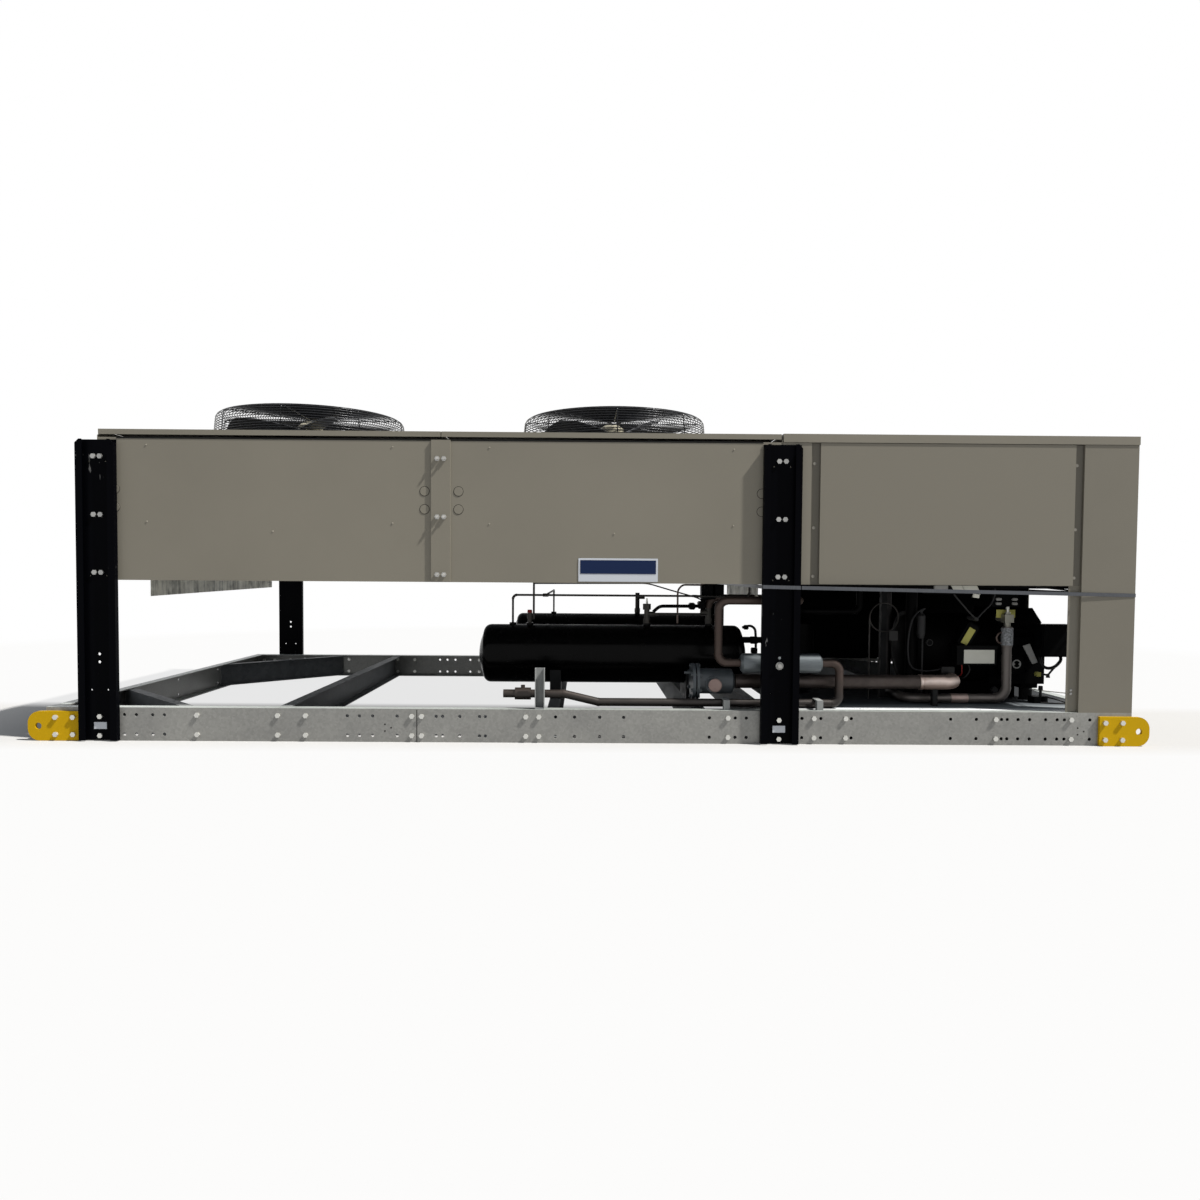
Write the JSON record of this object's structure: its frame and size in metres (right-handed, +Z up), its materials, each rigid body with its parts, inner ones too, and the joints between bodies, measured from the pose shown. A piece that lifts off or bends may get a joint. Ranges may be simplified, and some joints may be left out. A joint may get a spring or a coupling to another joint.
{
  "type": "refrigeration condensing unit",
  "caption": "Air-cooled condensing unit on a channel base frame: raised fan condenser and control section on legs, with compressor, receivers and piping slung beneath.",
  "frame": {"origin": "centre of the footprint, on the plane the rails rest on", "axes": "+X to the right along the long side as seen from the service front, +Y from the service front to the rear, +Z up"},
  "size_m": [4.712, 2.339, 1.444],
  "materials": {
    "galvanized": "bright zinc spangle",
    "galvanized_plain": "dull zinc",
    "lug_yellow": "gloss yellow paint",
    "black_gloss": "gloss black powder coat",
    "black_satin": "satin black paint",
    "cabinet": "warm grey-tan baked enamel",
    "liner": "black acoustic lining",
    "zinc_hardware": "zinc-plated fasteners",
    "fins": "aluminium fin stock",
    "fan_metal": "mill-finish aluminium",
    "guard_wire": "black coated wire",
    "motor_grey": "dark grey enamel",
    "copper": "weathered copper",
    "valve_brass": "forged brass",
    "stem_steel": "machined steel",
    "cast_black": "black painted casting",
    "rubber": "black rubber",
    "box_dark": "dark grey enclosure paint",
    "filter_grey": "blue-grey enamel",
    "drier_silver": "silver enamel",
    "gear_pale": "pale moulded plastic",
    "band_steel": "blued strapping steel"
  },
  "bodies": {
    "unit": {"front_rail_left": "galvanized", "front_rail_right": "galvanized", "rear_rails": "galvanized", "end_rails": "galvanized", "cross_members": "galvanized_plain", "corner_braces": "galvanized_plain", "lifting_lugs": "lug_yellow", "hex_bolts": "zinc_hardware", "compressor_deck": "galvanized_plain", "leg_front_left": "black_gloss", "leg_front_mid": "black_gloss", "leg_rear_left": "black_gloss", "leg_rear_mid": "black_gloss", "corner_posts": "cabinet", "bay_panels": "cabinet", "bay_liner": "liner", "control_box": "cabinet", "control_cover": "cabinet", "cover_screws": "zinc_hardware", "control_roof": "cabinet", "control_gear": "gear_pale", "front_panel_left": "cabinet", "front_panel_right": "cabinet", "rear_panels": "cabinet", "side_panels": "cabinet", "roof_left": "cabinet", "roof_right": "cabinet", "joint_straps": "cabinet", "coil_fins": "fins", "tube_sheets": "galvanized_plain", "coil_tubing": "copper", "fan_guards_front": "guard_wire", "fan_guards_rear": "guard_wire", "fan_motors": "motor_grey", "motor_mounts": "galvanized_plain", "receiver_front": "black_satin", "receiver_rear": "black_satin", "receiver_valves": "valve_brass", "compressor_body": "cast_black", "compressor_heads": "cast_black", "compressor_mounts": "rubber", "electrical_boxes": "box_dark", "service_valves": "valve_brass", "oil_regulator": "cast_black", "accumulator": "black_satin", "suction_filter": "filter_grey", "filter_cover": "filter_grey", "suction_line": "copper", "discharge_line": "copper", "liquid_line": "copper", "filter_drier": "drier_silver", "small_lines": "copper", "equipment_supports": "galvanized_plain", "strapping_band": "band_steel"},
    "rotor_front_left": {"rotor_front_left": "fan_metal"},
    "rotor_front_right": {"rotor_front_right": "fan_metal"},
    "rotor_rear_left": {"rotor_rear_left": "fan_metal"},
    "rotor_rear_right": {"rotor_rear_right": "fan_metal"},
    "discharge_stem": {"discharge_stem": "stem_steel"},
    "receiver_stem": {"receiver_stem": "stem_steel"}
  },
  "joints": [
    {"name": "fan_front_left_spin", "type": "hinge", "parent": "unit", "child": "rotor_front_left", "pos_m": [-1.3615, -0.5715, 1.29], "axis": [0, 0, 1], "continuous": true},
    {"name": "fan_front_right_spin", "type": "hinge", "parent": "unit", "child": "rotor_front_right", "pos_m": [0.0925, -0.5715, 1.29], "axis": [0, 0, 1], "continuous": true},
    {"name": "fan_rear_left_spin", "type": "hinge", "parent": "unit", "child": "rotor_rear_left", "pos_m": [-1.3615, 0.5715, 1.29], "axis": [0, 0, 1], "continuous": true},
    {"name": "fan_rear_right_spin", "type": "hinge", "parent": "unit", "child": "rotor_rear_right", "pos_m": [0.0925, 0.5715, 1.29], "axis": [0, 0, 1], "continuous": true},
    {"name": "discharge_stem_turn", "type": "hinge", "parent": "unit", "child": "discharge_stem", "pos_m": [1.875, -0.893, 0.54], "axis": [0, 0, 1], "continuous": true},
    {"name": "receiver_stem_turn", "type": "hinge", "parent": "unit", "child": "receiver_stem", "pos_m": [0.264, -0.676, 0.56], "axis": [0, 0, 1], "continuous": true}
  ]
}
